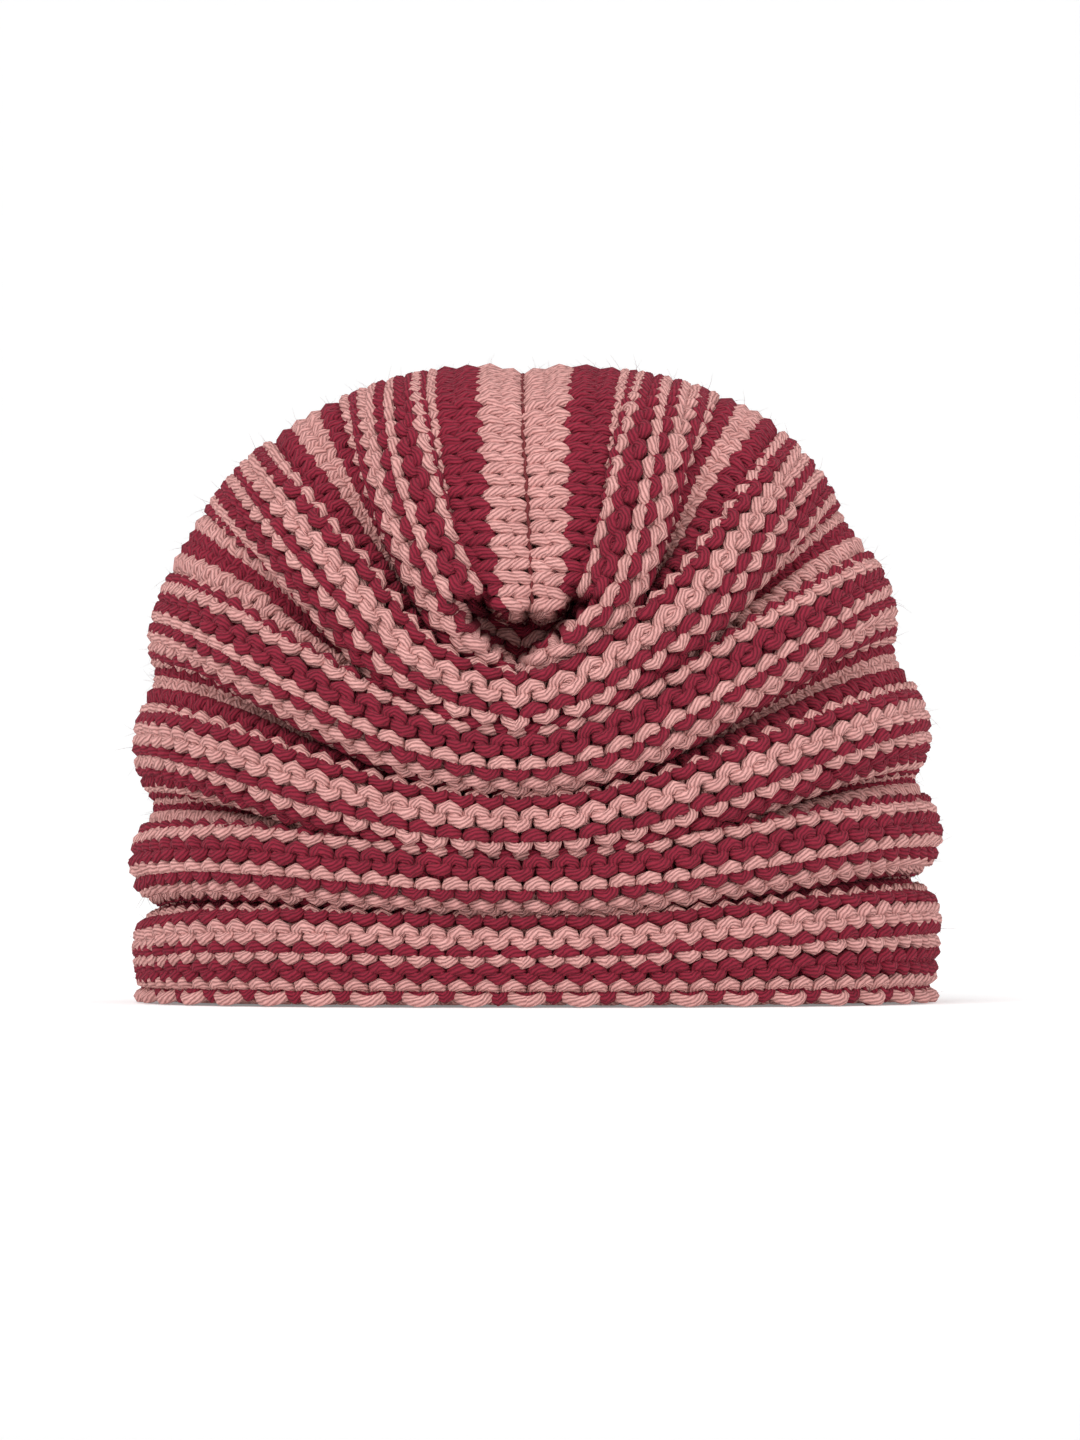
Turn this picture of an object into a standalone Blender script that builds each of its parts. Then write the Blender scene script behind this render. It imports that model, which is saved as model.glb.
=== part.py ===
"""Wool beanie knitted in welts from the brim up and sewn together over the crown.

The hat stands on its brim with the open end down and its front facing -Y.
Sizes are metres.  A row is one round of knitting, counted from the brim, and a
fold is one welt of ten rows: five that bulge out and five that turn in.
"""
import math

import bmesh
import bpy
import numpy as np

# Outer sizes of the hat.
HAT_WIDTH = 0.192
DEPTH_SHARE = 0.79
HAT_HEIGHT = 0.1504
BRIM_TAPER = 0.0015
SHOULDER_HEIGHT = 0.030
DOME_POWER = 2.5
FRONT_DOME_POWER = 3.8
BACK_DOME_POWER = 2.5
PLAN_POWER = 2.5

# Near the top the depth outgrows the width by no more than the stretch, and the
# sideways sag evens out within the middle of the map.
CROWN_STRETCH = 1.45
CROWN_MIDDLE = 0.10

# The knitted wall.
WALL = 0.0044
ROW_PITCH = 0.0041
FOLD_ROWS = 10
FIRST_RIDGE_ROW = 2.5
LAST_ROW = 60
FOLD_LIMIT = 1.75
SIDE_SLACK = 0.42
FOLD_FULL_FACING = 0.80
RIDGE_SPREAD = 0.10
BRIM_FOLD_SHARE = 0.15
BRIM_FADE_ROWS = 5.0
CROWN_FADE_ROWS = (49.5, 55.0)
PANEL_DIP = 0.0045
PANEL_DIP_ROWS = (52.5, 56.0)
SEAM_GROOVE = 0.0014

# The front end of the seam is pulled into the hat.
TUCK_TOP = 0.0905
TUCK_POINT = 0.0790
TUCK_SLOPE = 0.60
TUCK_DEPTH = 0.016
TUCK_HALF_WIDTH = 0.0100
TUCK_EDGE = 0.0070
TUCK_SIDE_FADE = 0.0080
TUCK_FADE = 0.032

# The cast-on edge under the wall and the sewing yarn over the crown.
EDGE_HEIGHT = 0.0036
EDGE_WIDTH = 0.0062
SEAM_YARN = 0.0020
SEAM_SHARES = (0.16, 0.985)
FIT_GAP = 0.0003

# How finely the pieces are divided and how finely their rules are worked out.
COLUMNS = 44
FRONT_BIAS = 0.45
STEPS_PER_ROW = 4
SEAM_STEPS = 34
SEAM_SIDES = 6
BAND_SAMPLES = 200
DOME_SAMPLES = 900
TURN_SAMPLES = 1400
FOLD_LINES = 91
FOLD_TURNS = 720
MAP_STEP = 0.006
TINY = 1e-9

# Each row lies on a flat map of the crown: 0 is its middle and 1 is the brim.
# A row crosses that map at its own share of the way at the side, front and back,
# as an oval of its own squareness.  Lean lifts the right side over the left, and
# point draws the front centre down.
ROW_COLUMNS = ("row", "side", "front", "back", "power", "lean", "point")
ROW_TABLE = (
    (0.0, 1.000, 1.000, 1.000, 2.50, 0.000, 0.000),
    (2.5, 0.942, 0.951, 0.950, 2.42, 0.016, 0.000),
    (12.5, 0.844, 0.873, 0.876, 2.35, 0.018, 0.000),
    (22.5, 0.707, 0.817, 0.812, 2.25, 0.015, 0.000),
    (32.5, 0.547, 0.734, 0.738, 2.17, 0.015, 0.000),
    (42.5, 0.361, 0.664, 0.672, 2.41, 0.005, 0.012),
    (52.5, 0.157, 0.566, 0.605, 4.10, 0.004, 0.028),
    (56.0, 0.113, 0.566, 0.590, 7.00, 0.001, 0.000),
    (58.0, 0.054, 0.556, 0.580, 4.00, 0.000, 0.000),
    (60.0, 0.000, 0.545, 0.570, 3.00, 0.000, 0.000),
)
POINT_WIDTH = 0.060

# How far the hat sags sideways, as shares of its height and width.
LEAN_COLUMNS = ("height", "middle", "sides")
LEAN_TABLE = (
    (0.000, -0.010, 0.000),
    (0.366, -0.023, 0.000),
    (0.545, -0.023, -0.012),
    (0.625, -0.004, -0.012),
    (0.851, -0.012, -0.010),
    (0.918, -0.015, 0.003),
    (1.000, -0.017, 0.000),
)

# Cross-section of the cast-on edge, as shares of its width and height.
EDGE_SECTION = (
    ("across", "up"),
    (-0.36, 0.0),
    (0.36, 0.0),
    (0.50, 0.5),
    (0.36, 1.0),
    (-0.36, 1.0),
    (-0.50, 0.5),
)

BURGUNDY = (0.275, 0.022, 0.040, 1.0)
PINK = (0.680, 0.370, 0.320, 1.0)
WOOL_ROUGHNESS = 0.92


def table_value(columns, table, name, places):
    """One column of a table, read between its lines."""
    place = columns.index(name)
    known = [line[0] for line in table]
    values = [line[place] for line in table]
    return np.interp(places, known, values)


def smooth_step(values):
    """From 0 to 1 with a level start and end."""
    part = np.clip(values, 0, 1)
    return part * part * (3 - 2 * part)


def side_profile():
    """Share of the way from the brim to the crown, half width, height and both half depths."""
    half_width = HAT_WIDTH / 2
    foot = EDGE_HEIGHT + FIT_GAP
    band = np.linspace(0.0, 1.0, BAND_SAMPLES)[:-1]
    turn = np.linspace(0.0, math.pi / 2, DOME_SAMPLES)
    half = np.concatenate([
        half_width - BRIM_TAPER * (1 - band) ** 2,
        half_width * np.cos(turn) ** (2 / DOME_POWER),
    ])
    height = np.concatenate([
        foot + (SHOULDER_HEIGHT - foot) * band,
        SHOULDER_HEIGHT + (HAT_HEIGHT - SHOULDER_HEIGHT) * np.sin(turn) ** (2 / DOME_POWER),
    ])
    half[-1] = 0.0
    way = np.concatenate([[0.0], np.cumsum(np.hypot(np.diff(half), np.diff(height)))])
    share = np.clip((height - SHOULDER_HEIGHT) / (HAT_HEIGHT - SHOULDER_HEIGHT), 0, 1)
    depths = []
    for power in (FRONT_DOME_POWER, BACK_DOME_POWER):
        dome = half_width * (1 - share ** power) ** (1 / power)
        dome = np.minimum(dome, CROWN_STRETCH * half)
        depths.append(DEPTH_SHARE * np.where(share > 0, dome, half))
    return way / way[-1], half, height, *depths


PROFILE = side_profile()


def lean_at(height, name):
    """How far the middle or the sides of the hat sag to the right at a height."""
    return HAT_WIDTH * table_value(LEAN_COLUMNS, LEAN_TABLE, name, height / HAT_HEIGHT)


def envelope(map_x, map_y):
    """Point of the smooth outer form over a point of the map."""
    way, half, height, ahead, behind = PROFILE
    out = (np.abs(map_x) ** PLAN_POWER + np.abs(map_y) ** PLAN_POWER) ** (1 / PLAN_POWER)
    out = np.maximum(out, TINY)
    z = np.interp(1 - out, way, height)
    beside = np.minimum(map_x ** 2 / (out ** 2 + CROWN_MIDDLE ** 2), 1)
    x = np.interp(1 - out, way, half) / out * map_x
    x = x + lean_at(z, "middle") * (1 - beside) + lean_at(z, "sides") * beside
    depth = np.where(map_y > 0, np.interp(1 - out, way, behind), np.interp(1 - out, way, ahead))
    return np.stack([x, depth / out * map_y, z], axis=-1)


def tucked(points):
    """The points with the front wall pulled in round the end of the seam."""
    across = np.abs(points[..., 0] - lean_at(TUCK_TOP, "middle"))
    low = TUCK_POINT + TUCK_SLOPE * np.abs(points[..., 0] - lean_at(TUCK_POINT, "middle"))
    pull = smooth_step((TUCK_TOP - points[..., 2]) / TUCK_EDGE + 0.5)
    pull = pull * smooth_step((points[..., 2] - low) / TUCK_EDGE + 0.5)
    beside = np.maximum(across - TUCK_HALF_WIDTH, 0) / TUCK_SIDE_FADE
    front = np.clip(-points[..., 1] / TUCK_FADE, 0, 1)
    moved = points.copy()
    moved[..., 1] += TUCK_DEPTH * pull * front * np.exp(-beside ** 2)
    return moved


def unit(vectors):
    """The vectors at length one."""
    return vectors / np.maximum(np.linalg.norm(vectors, axis=-1, keepdims=True), TINY)


def envelope_normal(map_x, map_y):
    """Outward direction of the smooth outer form."""
    along_x = envelope(map_x + MAP_STEP, map_y) - envelope(map_x - MAP_STEP, map_y)
    along_y = envelope(map_x, map_y + MAP_STEP) - envelope(map_x, map_y - MAP_STEP)
    return unit(np.cross(along_x, along_y))


def row_value(name, rows):
    """One column of the row table at the given rows."""
    return table_value(ROW_COLUMNS, ROW_TABLE, name, rows)


def row_on_map(row, turn):
    """Map points of one row at the given turns, 0 being the front centre."""
    power = 2 / row_value("power", row)
    sine, cosine = np.sin(turn), np.cos(turn)
    side = row_value("side", row) - row_value("lean", row) * np.sign(sine)
    side = np.where(row_value("side", row) > 0, side, 0.0)
    reach = np.where(cosine > 0, row_value("front", row), row_value("back", row))
    map_x = side * np.sign(sine) * np.abs(sine) ** power
    map_y = -reach * np.sign(cosine) * np.abs(cosine) ** power
    point = row_value("point", row) * np.exp(-np.abs(map_x) / POINT_WIDTH)
    return map_x, map_y - point * np.maximum(cosine, 0)


def turns_by_direction(row, start):
    """Half a round of turns from the start, evenly spread in direction on the map."""
    direction = np.linspace(0.0, math.pi, TURN_SAMPLES)
    power = row_value("power", row) / 2
    cosine = np.cos(direction)
    return start + np.arctan2(
        np.sin(direction).clip(0) ** power, np.sign(cosine) * np.abs(cosine) ** power)


def column_turns(row):
    """Turns of the wall's columns on one row, closer together at the front."""
    half = COLUMNS // 2
    share = np.linspace(0.0, 1.0, half + 1)
    share = share - FRONT_BIAS * np.sin(math.pi * share) / math.pi
    turns = []
    for start in (0.0, math.pi):
        dense = turns_by_direction(row, start)
        points = envelope(*row_on_map(row, dense))
        way = np.concatenate([[0.0], np.cumsum(np.linalg.norm(np.diff(points, axis=0), axis=1))])
        wanted = share if start == 0.0 else 1 - share[::-1]
        turns.append(np.interp(wanted * way[-1], way, dense)[:-1])
    return np.concatenate(turns)


def fold_tables():
    """For a range of fold strengths: how far a fold advances, and its shape."""
    strengths = np.linspace(0.0, FOLD_LIMIT, FOLD_LINES)
    turn = np.linspace(-math.pi, math.pi, FOLD_TURNS + 1)
    angle = -strengths[:, None] * np.sin(turn - RIDGE_SPREAD * np.sin(turn))[None, :]
    ridge = FOLD_TURNS // 2

    def summed(values):
        middle = (values[:, 1:] + values[:, :-1]) / (2 * FOLD_TURNS)
        total = np.concatenate([np.zeros((len(values), 1)), np.cumsum(middle, axis=1)], axis=1)
        return total - total[:, ridge:ridge + 1]

    advance = np.cos(angle)[:, :-1].mean(axis=1)
    shift = summed(np.cos(angle)) - advance[:, None] * (turn / (2 * math.pi))[None, :]
    rise = summed(np.sin(angle))
    return strengths, advance, turn, shift, rise, angle


def read_fold(table, strengths, turn, strength, phase):
    """Read a fold table between its lines at a strength and a phase."""
    place = np.clip(strength / strengths[-1], 0, 1) * (len(strengths) - 1)
    low = np.minimum(place.astype(int), len(strengths) - 2)
    part = place - low
    spot = (phase + math.pi) / (2 * math.pi) * (len(turn) - 1)
    left = np.clip(spot.astype(int), 0, len(turn) - 2)
    rest = spot - left
    first = table[low, left] * (1 - rest) + table[low, left + 1] * rest
    second = table[low + 1, left] * (1 - rest) + table[low + 1, left + 1] * rest
    return first * (1 - part) + second * part


def fold_starts(rows):
    """The ridge row below each row and the ridge row above it."""
    below = np.floor((rows - FIRST_RIDGE_ROW) / FOLD_ROWS) * FOLD_ROWS + FIRST_RIDGE_ROW
    return np.maximum(below, 0.0), np.minimum(below + FOLD_ROWS, float(LAST_ROW))


def middle_surface():
    """Middle of the knitted wall and its outward direction on a fine grid of rows."""
    rows = np.linspace(0.0, LAST_ROW, LAST_ROW * STEPS_PER_ROW + 1)
    maps = [row_on_map(row, column_turns(row)) for row in rows]
    map_x = np.array([pair[0] for pair in maps])
    map_y = np.array([pair[1] for pair in maps])
    base = envelope(map_x, map_y)

    around = unit(np.roll(base, -1, axis=1) - np.roll(base, 1, axis=1))
    along = np.diff(base, axis=0)
    across = (along * around[1:]).sum(axis=-1, keepdims=True) * around[1:]
    way = np.linalg.norm(along - across, axis=-1)
    way = np.concatenate([np.zeros((1, COLUMNS)), np.cumsum(way, axis=0)])

    strengths, advance, turn, shift, rise, slope = fold_tables()
    outward = envelope_normal(map_x, map_y)
    front = smooth_step(np.abs(outward[..., 1]) / FOLD_FULL_FACING)

    # Every fold has one pitch and one strength on a column, and is slack at the sides.
    first, last = (np.rint(ends * STEPS_PER_ROW).astype(int) for ends in fold_starts(rows))
    last = np.maximum(last, first + 1)
    per_row = (way[last] - way[first]) / (rows[last] - rows[first])[:, None]
    strength = np.interp(-per_row / ROW_PITCH, -advance, strengths)
    front = front[(first + last) // 2]
    strength = strength * (front + (1 - front) * np.minimum(SIDE_SLACK * strength, 1))
    rows_2d = np.repeat(rows[:, None], COLUMNS, axis=1)
    brim = BRIM_FOLD_SHARE + (1 - BRIM_FOLD_SHARE) * np.clip(rows_2d / BRIM_FADE_ROWS, 0, 1)
    start, end = CROWN_FADE_ROWS
    fade = smooth_step((end - rows_2d) / (end - start))
    strength = strength * brim * fade
    length = FOLD_ROWS * per_row / np.interp(strength, strengths, advance)

    phase = 2 * math.pi * (rows_2d - FIRST_RIDGE_ROW) / FOLD_ROWS
    phase = np.mod(phase + math.pi, 2 * math.pi) - math.pi
    depth = read_fold(rise, strengths, turn, strength, phase) * length
    even = way[first] + (rows_2d - rows[first][:, None]) * per_row
    target = fade * even + (1 - fade) * way
    target = target + read_fold(shift, strengths, turn, strength, phase) * length

    new_x, new_y = np.empty_like(map_x), np.empty_like(map_y)
    for column in range(COLUMNS):
        new_x[:, column] = np.interp(target[:, column], way[:, column], map_x[:, column])
        new_y[:, column] = np.interp(target[:, column], way[:, column], map_y[:, column])
    outward = envelope_normal(new_x, new_y)
    start, end = PANEL_DIP_ROWS
    sunk = smooth_step((rows_2d - start) / (end - start)) * np.clip(-outward[..., 1], 0, 1)
    inset = depth - PANEL_DIP * sunk - WALL / 2
    middle = envelope(new_x, new_y) + outward * inset[..., None]
    upward = unit(np.cross(outward, around))
    tilt = read_fold(slope, strengths, turn, strength, phase)
    normal = unit(outward * np.cos(tilt)[..., None] - upward * np.sin(tilt)[..., None])
    return middle, normal


def new_object(name, points, faces, material):
    """One closed mesh object with its faces turned out."""
    mesh = bpy.data.meshes.new(name)
    mesh.from_pydata([tuple(point) for point in points], [], faces)
    work = bmesh.new()
    work.from_mesh(mesh)
    bmesh.ops.triangulate(work, faces=work.faces[:])
    bmesh.ops.recalc_face_normals(work, faces=work.faces[:])
    work.to_mesh(mesh)
    work.free()
    mesh.materials.append(material)
    made = bpy.data.objects.new(name, mesh)
    bpy.context.scene.collection.objects.link(made)
    return made


def wool(name, colour):
    """Plain rough wool of one colour."""
    material = bpy.data.materials.new(name)
    material.use_nodes = True
    shader = material.node_tree.nodes["Principled BSDF"]
    shader.inputs["Base Color"].default_value = colour
    shader.inputs["Roughness"].default_value = WOOL_ROUGHNESS
    material.diffuse_color = colour
    return material


def build_body(middle, normal, material):
    """The wall: an outer and an inner skin that meet at the brim and along the seam."""
    picked = middle[::STEPS_PER_ROW]
    facing = normal[::STEPS_PER_ROW]
    outer = picked + facing * WALL / 2
    inner = picked - facing * WALL / 2
    foot = EDGE_HEIGHT + FIT_GAP
    outer[0, :, 2] = foot
    inner[0, :, 2] = foot
    outer[-1] -= facing[-1] * SEAM_GROOVE
    inner[-1] -= facing[-1] * SEAM_GROOVE
    for skin in (outer, inner):
        skin[:] = tucked(skin)

    points, index = [], {}
    for layer, skin in enumerate((outer, inner)):
        for row in range(LAST_ROW + 1):
            for column in range(COLUMNS):
                other = (COLUMNS - column) % COLUMNS
                if row == LAST_ROW and other < column:
                    index[layer, row, column] = index[layer, row, other]
                    continue
                index[layer, row, column] = len(points)
                points.append(skin[row, column])

    faces = []
    for layer in (0, 1):
        for row in range(LAST_ROW):
            for column in range(COLUMNS):
                beside = (column + 1) % COLUMNS
                corners = [index[layer, row, column], index[layer, row, beside],
                           index[layer, row + 1, beside], index[layer, row + 1, column]]
                if column % (COLUMNS // 2) < COLUMNS // 4:
                    corners = corners[1:] + corners[:1]
                for triangle in (corners[:3], corners[2:] + corners[:1]):
                    faces.append(triangle if layer == 0 else triangle[::-1])
    for column in range(COLUMNS):
        beside = (column + 1) % COLUMNS
        faces.append([index[1, 0, column], index[1, 0, beside],
                      index[0, 0, beside], index[0, 0, column]])
    return new_object("knitted_body", points, faces, material), outer


def build_edge(middle, material):
    """The chain of cast-on stitches, with a flat underside."""
    path = middle[0].copy()
    ahead = np.roll(path, -1, axis=0) - np.roll(path, 1, axis=0)
    sideways = unit(np.stack([ahead[:, 1], -ahead[:, 0], np.zeros(COLUMNS)], axis=-1))
    section = EDGE_SECTION[1:]
    points, faces = [], []
    for place in range(COLUMNS):
        for across, up in section:
            point = path[place] + sideways[place] * across * EDGE_WIDTH
            point[2] = up * EDGE_HEIGHT
            points.append(point)
    sides = len(section)
    for place in range(COLUMNS):
        beside = (place + 1) % COLUMNS
        for side in range(sides):
            upper = (side + 1) % sides
            faces.append([place * sides + side, beside * sides + side,
                          beside * sides + upper, place * sides + upper])
    return new_object("cast_on_edge", points, faces, material)


def build_seam(outer, material):
    """The sewing yarn, lying in the groove over the crown."""
    half = COLUMNS // 2
    groove = outer[-1, :half + 1]
    way = np.concatenate([[0.0], np.cumsum(np.linalg.norm(np.diff(groove, axis=0), axis=1))])
    wanted = np.linspace(*SEAM_SHARES, SEAM_STEPS) * way[-1]
    path = np.stack([np.interp(wanted, way, groove[:, axis]) for axis in range(3)], axis=-1)
    ahead = unit(np.gradient(path, axis=0))
    upward = unit(np.cross(np.tile([1.0, 0.0, 0.0], (SEAM_STEPS, 1)), ahead))
    upward = upward * np.sign(upward[SEAM_STEPS // 2, 2])
    radius = SEAM_YARN / 2
    path = path + upward * (radius + 2 * FIT_GAP)
    sides = SEAM_SIDES
    points, faces = [], []
    for place in range(SEAM_STEPS):
        for side in range(sides):
            turn = 2 * math.pi * side / sides
            offset = upward[place] * math.sin(turn) * radius
            offset = offset + np.array([math.cos(turn) * radius, 0.0, 0.0])
            points.append(path[place] + offset)
    for place in range(SEAM_STEPS - 1):
        for side in range(sides):
            upper = (side + 1) % sides
            faces.append([place * sides + side, (place + 1) * sides + side,
                          (place + 1) * sides + upper, place * sides + upper])
    faces.append(list(range(sides)))
    faces.append([(SEAM_STEPS - 1) * sides + side for side in range(sides)][::-1])
    return new_object("crown_seam", points, faces, material)


def build():
    """Clear the scene and build the three pieces of the hat."""
    for old in list(bpy.data.objects):
        bpy.data.objects.remove(old, do_unlink=True)
    burgundy = wool("burgundy_wool", BURGUNDY)
    pink = wool("pink_wool", PINK)
    thread = wool("sewing_wool", BURGUNDY)
    middle, normal = middle_surface()
    outer = build_body(middle, normal, burgundy)[1]
    build_edge(middle, pink)
    build_seam(outer, thread)


build()
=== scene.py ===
"""Dresses the wool beanie in knitted yarn, with its floor, light and camera.

Every stitch is a loop of yarn that follows the folded wall of the hat.  A row is
one round of knitting counted from the brim, a wale is one column of stitches
counted from the front centre, and a welt is a fold of ten rows.
"""
import math

import bpy
import numpy as np
from bpy.props import FloatProperty, FloatVectorProperty, IntProperty, PointerProperty
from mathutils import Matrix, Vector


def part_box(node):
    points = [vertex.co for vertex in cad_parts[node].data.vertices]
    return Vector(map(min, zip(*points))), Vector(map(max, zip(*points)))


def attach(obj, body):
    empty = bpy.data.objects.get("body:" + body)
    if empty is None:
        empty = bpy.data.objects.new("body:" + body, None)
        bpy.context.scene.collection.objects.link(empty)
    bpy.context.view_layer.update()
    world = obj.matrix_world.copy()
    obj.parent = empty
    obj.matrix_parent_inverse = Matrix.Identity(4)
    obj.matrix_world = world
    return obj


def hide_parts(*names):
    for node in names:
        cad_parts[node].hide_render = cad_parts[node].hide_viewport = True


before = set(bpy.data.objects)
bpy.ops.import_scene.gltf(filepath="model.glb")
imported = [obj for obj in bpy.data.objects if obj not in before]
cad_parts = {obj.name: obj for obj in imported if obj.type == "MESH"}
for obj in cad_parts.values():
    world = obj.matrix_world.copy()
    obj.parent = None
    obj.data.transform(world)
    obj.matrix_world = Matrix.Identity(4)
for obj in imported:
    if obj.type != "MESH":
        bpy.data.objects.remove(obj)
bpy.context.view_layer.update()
BODY_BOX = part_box("knitted_body")
EDGE_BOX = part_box("cast_on_edge")

bl_info = {
    "name": "Knitted Beanie",
    "version": (1, 0, 0),
    "blender": (4, 5, 0),
    "location": "3D View > Sidebar > Beanie",
    "description": "Knits a welted wool beanie, stitch by stitch",
    "category": "Add Mesh",
}

# Form of the hat.  The flat map of the crown runs from 0 in its middle to 1 at the brim.
DEPTH_SHARE = 0.79
BRIM_TAPER = 0.0015
SHOULDER_HEIGHT = 0.030
DOME_POWER = 2.5
FRONT_DOME_POWER = 3.8
BACK_DOME_POWER = 2.5
PLAN_POWER = 2.5
CROWN_STRETCH = 1.45
CROWN_MIDDLE = 0.10
ROW_COLUMNS = ("row", "side", "front", "back", "power", "lean", "point")
ROW_TABLE = (
    (0.0, 1.000, 1.000, 1.000, 2.50, 0.000, 0.000),
    (2.5, 0.942, 0.951, 0.950, 2.42, 0.016, 0.000),
    (12.5, 0.844, 0.873, 0.876, 2.35, 0.018, 0.000),
    (22.5, 0.707, 0.817, 0.812, 2.25, 0.015, 0.000),
    (32.5, 0.547, 0.734, 0.738, 2.17, 0.015, 0.000),
    (42.5, 0.361, 0.664, 0.672, 2.41, 0.005, 0.012),
    (52.5, 0.157, 0.566, 0.605, 4.10, 0.004, 0.028),
    (56.0, 0.113, 0.566, 0.590, 7.00, 0.001, 0.000),
    (58.0, 0.054, 0.566, 0.580, 7.00, 0.000, 0.000),
    (60.0, 0.000, 0.566, 0.570, 7.00, 0.000, 0.000),
)
POINT_WIDTH = 0.060
LEAN_COLUMNS = ("height", "middle", "sides")
LEAN_TABLE = (
    (0.000, -0.0020, 0.0000),
    (0.055, -0.0045, 0.0000),
    (0.082, -0.0045, -0.0024),
    (0.094, -0.0008, -0.0024),
    (0.128, -0.0024, -0.0020),
    (0.138, -0.0030, 0.0005),
    (0.152, -0.0032, 0.0000),
)

# The knitting.
WALES = 88
LAST_ROW = 60
WELT_ROWS = 10
PURL_ROWS = 5
STRIPE_ROWS = 4
FIRST_RIDGE_ROW = 2.5
ROW_PITCH = 0.0041
FRONT_STRETCH = 0.28
RIDGE_SPREAD = 0.55
FOLD_LIMIT = 1.95
SIDE_SLACK = 0.42
FOLD_FULL_FACING = 0.80
BRIM_FOLD_SHARE = 0.15
BRIM_FADE_ROWS = 5.0
CROWN_FADE_ROWS = (52.5, 57.0)
RIDGE_ROW_PITCH = 0.0047
ROW_CROWDING = 0.70
PANEL_ROW = 56
PANEL_DIP = 0.0065
PANEL_DIP_ROWS = (52.5, 55.5)
SEAM_DIP = 0.0022
SEAM_DIP_ROWS = 2.0

# The front end of the seam is pulled into the hat.
TUCK_TOP = 0.0905
TUCK_POINT = 0.0783
TUCK_SLOPE = 0.85
TUCK_HALF_WIDTH = 0.0084
TUCK_ROUNDING = 0.0030
TUCK_ROUNDING_REACH = 1.15
TUCK_NOTCH = 0.0022
TUCK_NOTCH_WIDTH = 0.0016
TUCK_EDGE = 0.0035
TUCK_SIDE_FADE = 0.0072
TUCK_DEPTH = 0.028
TUCK_FADE = 0.032

# One stitch, with its width as one turn, and how far unevenness can move its parts.
PURL_BULGE = 1.24
KNIT_BULGE = 1.40
LOOP_SKEW = 0.25
LOOP_REACH_ROWS = 0.82
UNEVEN_WALES = 0.10
UNEVEN_REACH = 0.10
UNEVEN_LIFT = 0.15
STITCH_POINTS = 12
YARN_SIDES = 6
EVEN_THICKNESS = ((0.0, 1.0), (1.0, 1.0))

# The cast-on edge: a chain knotted in pairs of stitches, and the heads that it holds.
EDGE_GAP = 0.0003
EDGE_POINTS = 36
EDGE_MIDDLE = 0.0029
EDGE_DROP = 0.0014
EDGE_INWARD = 0.0004
EDGE_SWELL = 0.0026
EDGE_SLIP = 0.45
EDGE_YARN_SHARE = 0.92
HEAD_ROW = -0.40
HEAD_REACH_DOWN = 0.10
HEAD_REACH_UP = 0.75
HEAD_INWARD = 0.8
HEAD_FLOOR_GAP = 0.0002
FOOT_ROW_PITCH = 0.0065
FOOT_ROW_INWARD = 0.0040

# The sewing in the crown.
SEAM_POINTS = 400
SEAM_LIFT = 0.0014
SEAM_SWING = 0.0003
SEAM_SHARE = (0.035, 0.985)
SEAM_YARN_SHARE = 0.35

# Loose fibres that stand off the yarn.
FIBRE_POINTS = 4
FIBRE_SIDES = 3
FIBRE_LENGTHS = (0.0018, 0.0050)
FIBRE_RADIUS = 0.000045
FIBRE_STRAY = 0.5
FIBRE_AHEAD = 0.5
FIBRE_CURL = 0.9
FIBRE_TAPER = (1.0, 0.9, 0.6, 0.2)
FIBRE_FLOOR_GAP = 10 * FIBRE_RADIUS

# The look of the wool.  Each wool has the contrast of the painted shade in the grooves
# between its strands, and the power of that shade in the green and blue parts of its colour.
PLIES = 8
PLY_FRAY = 1.1
PLY_SHARPNESS = 0.9
FRAY_NOISE = {"Scale": 420.0, "Detail": 2.0}
FLUFF_NOISE = {"Scale": 1100.0, "Detail": 3.0, "Roughness": 0.7}
BLOTCH_NOISE = {"Scale": 130.0, "Detail": 2.0}
NOISE_DARKEST = 0.80
NOISE_RANGE = 0.40
WOOL_SURFACE = {
    "Roughness": 0.95,
    "Specular IOR Level": 0.15,
    "Sheen Weight": 0.12,
    "Sheen Roughness": 0.5,
}
SHEEN_WHITE = 0.2
WOOL_LOOKS = {"burgundy": (0.42, 0.85), "pink": (0.38, 1.30), "sewing": (0.40, 1.0)}
WOOLS_BY_PINK = (("burgundy", False), ("pink", True))

# A mix node's own numbers for its two colours and its mixed colour.
MIX_FIRST = 6
MIX_SECOND = 7
MIX_RESULT = 2

# Strips of the baking map, as shares of a strip's width and of the map's length.
STRIP_GAP = 0.12
STRIP_START = 0.01
STRIP_LENGTH = 0.96

# How finely the form is worked out.
GRID_PER_ROW = 8
GRID_PER_WALE = 4
BAND_SAMPLES = 200
DOME_SAMPLES = 900
TURN_SAMPLES = 1400
FOLD_LINES = 91
FOLD_TURNS = 720
MAP_STEP = 0.006
TINY = 1e-9

# The paper sweep, and the lamps with their places, sizes and shares of the key's power.
SWEEP_HALF_WIDTH = 9.0
SWEEP_FRONT = -9.0
SWEEP_BEND_START = 7.0
SWEEP_BEND = 2.0
SWEEP_TOP = 9.0
SWEEP_STEPS = 24
PAPER_ROUGHNESS = 0.9
WHITE = (1.0, 1.0, 1.0, 1.0)
LAMPS = (
    ("key_light", (-0.55, -1.3, 1.35), 1.1, 1.0),
    ("fill_light", (1.1, -1.2, 0.7), 1.4, 0.35),
)
LAMP_AIM = (0.0, 0.0, 0.07)

# Photograph frame: its height in pixels, the size of one pixel, and what it looks at.
PHOTO_HEIGHT = 1440
PIXEL = 0.000235
AIM_X = 0.0009
AIM_Z = 0.0663
SENSOR = 36.0
CLIP_END = 50.0


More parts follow.
